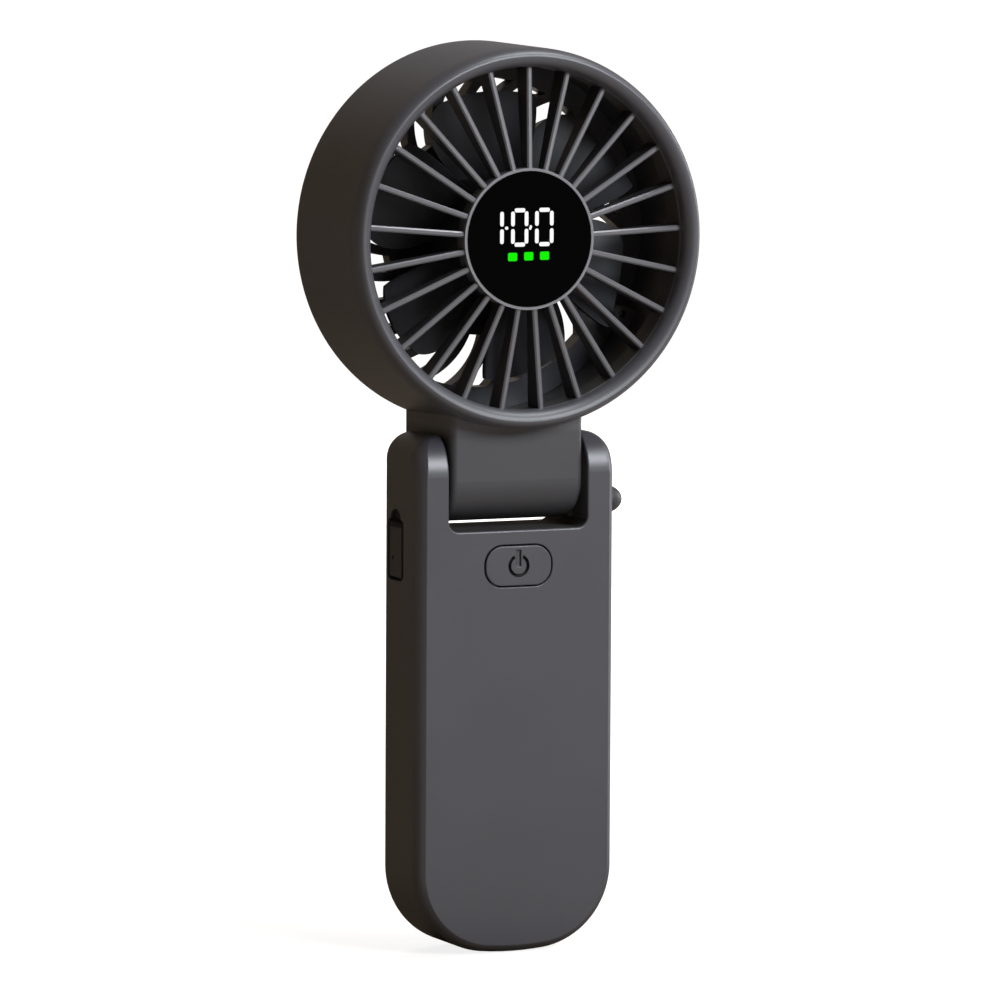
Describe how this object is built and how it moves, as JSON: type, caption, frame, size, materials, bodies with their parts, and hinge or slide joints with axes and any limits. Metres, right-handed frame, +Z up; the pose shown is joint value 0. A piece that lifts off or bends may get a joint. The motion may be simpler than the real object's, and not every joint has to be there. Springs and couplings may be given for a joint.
{
  "type": "folding hand-held fan",
  "caption": "Folding hand-held fan: round grilled head with a numeric display on a fork hinge, flat handle with a power button and a covered charging port.",
  "frame": {"origin": "under the middle of the handle's rounded lower end, in the handle's middle plane", "axes": "+Z up the handle to the head, +X to the right seen from the front, -Y the way the air blows"},
  "size_m": [0.082, 0.0316, 0.1941],
  "materials": {
    "shell_plastic": "fine satin moulding texture",
    "grille_plastic": "fine satin moulding texture",
    "impeller_plastic": "smooth moulded",
    "button_plastic": "satin, engraved power symbol",
    "lens_black": "polished smoked black",
    "cover_rubber": "matt soft rubber",
    "steel": "plain steel",
    "brass_tube": "turned",
    "copper": "enamelled copper wire",
    "magnet": "sintered, dull",
    "circuit_board": "green solder mask",
    "component_black": "moulded black",
    "battery_foil": "laminated foil pouch",
    "foam": "black foam tape",
    "washer_nylon": "plain nylon"
  },
  "bodies": {
    "handle": {"handle_body": "shell_plastic", "handle_back_cover": "shell_plastic", "back_cover_screws": "steel", "battery_cell": "battery_foil", "battery_tape": "foam", "battery_foam": "foam", "main_board": "circuit_board", "board_screws": "steel", "board_components": "component_black", "power_switch": "component_black", "usb_socket": "steel", "lanyard_post": "shell_plastic", "hinge_washer_left": "washer_nylon", "hinge_washer_right": "washer_nylon"},
    "head": {"head_shell": "shell_plastic", "neck_rear_cover": "shell_plastic", "neck_screws": "steel", "hinge_axle_left": "steel", "hinge_axle_right": "steel", "friction_springs": "steel", "front_grille": "grille_plastic", "display_lens": "lens_black", "led_display": "component_black", "display_board": "circuit_board", "rear_grille": "grille_plastic", "rear_grille_screws": "steel", "bearing_tube": "brass_tube", "front_bearing": "steel", "rear_bearing": "steel", "stator_core": "steel", "stator_windings": "copper", "motor_board": "circuit_board"},
    "impeller": {"impeller": "impeller_plastic", "rotor_can": "steel", "magnet_ring": "magnet", "motor_shaft": "steel", "shaft_clip": "steel"},
    "power_button": {"power_button": "button_plastic", "switch_plunger": "component_black"},
    "port_cover": {"port_cover": "cover_rubber"}
  },
  "joints": [
    {"name": "head_fold", "type": "hinge", "parent": "handle", "child": "head", "pos_m": [0, 0, 0.1015], "axis": [1, 0, 0], "range_deg": [-75, 90]},
    {"name": "impeller_spin", "type": "hinge", "parent": "head", "child": "impeller", "pos_m": [0, 0, 0.1531], "axis": [0, -1, 0], "continuous": true},
    {"name": "power_press", "type": "slide", "parent": "handle", "child": "power_button", "axis": [0, 1, 0], "range_m": [0, 0.0005], "stiffness_N_per_m": 3000, "springref_m": -0.0002},
    {"name": "port_cover_swing", "type": "hinge", "parent": "handle", "child": "port_cover", "pos_m": [-0.02245, 0.0029, 0.081], "axis": [0, -1, 0], "range_deg": [0, 90]}
  ]
}
